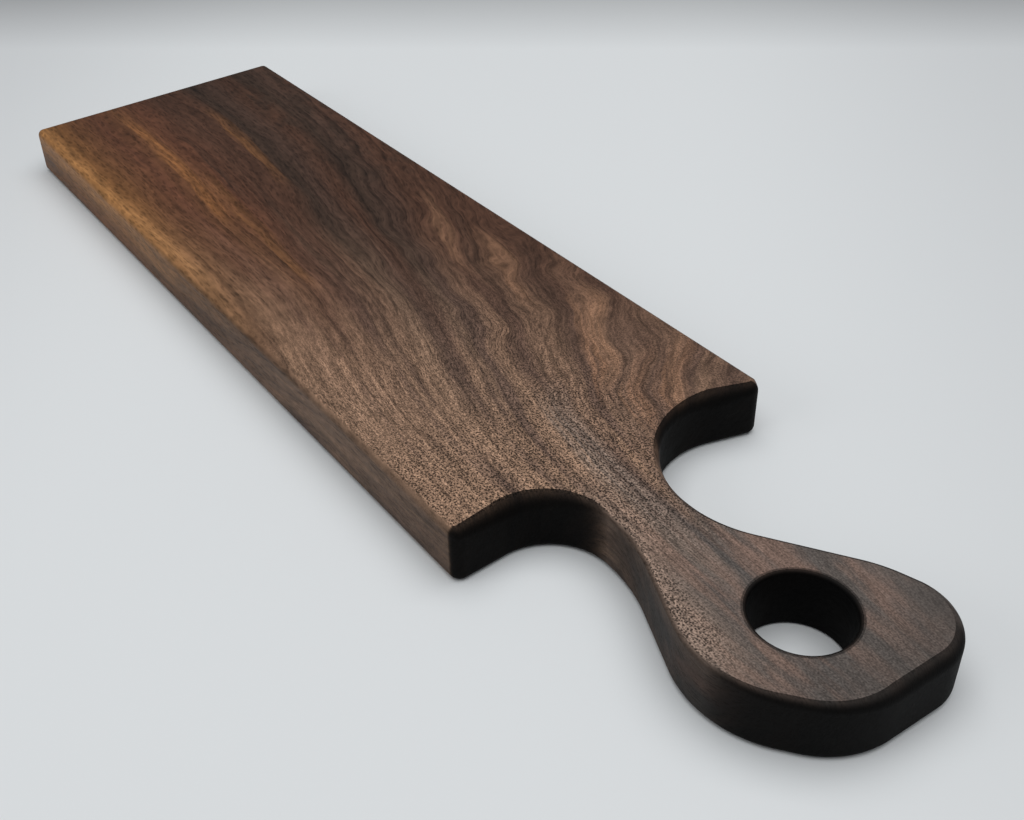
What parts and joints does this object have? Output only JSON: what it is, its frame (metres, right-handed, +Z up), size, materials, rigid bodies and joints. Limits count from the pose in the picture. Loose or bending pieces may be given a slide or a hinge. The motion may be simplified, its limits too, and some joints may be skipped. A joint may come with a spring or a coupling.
{
  "type": "paddle charcuterie board",
  "caption": "Long rectangular serving board cut from a solid walnut plank, with an off-centre neck between finger notches and a rounded handle lobe bored for hanging.",
  "frame": {"origin": "middle of the bounding box on the underside, where the board rests on a table", "axes": "+X along the length towards the handle lobe, +Y across the blade, +Z up through the thickness"},
  "size_m": [0.5728, 0.152, 0.0257],
  "materials": {
    "walnut": "satin oiled"
  },
  "bodies": {
    "root": {"board": "walnut"}
  },
  "joints": []
}
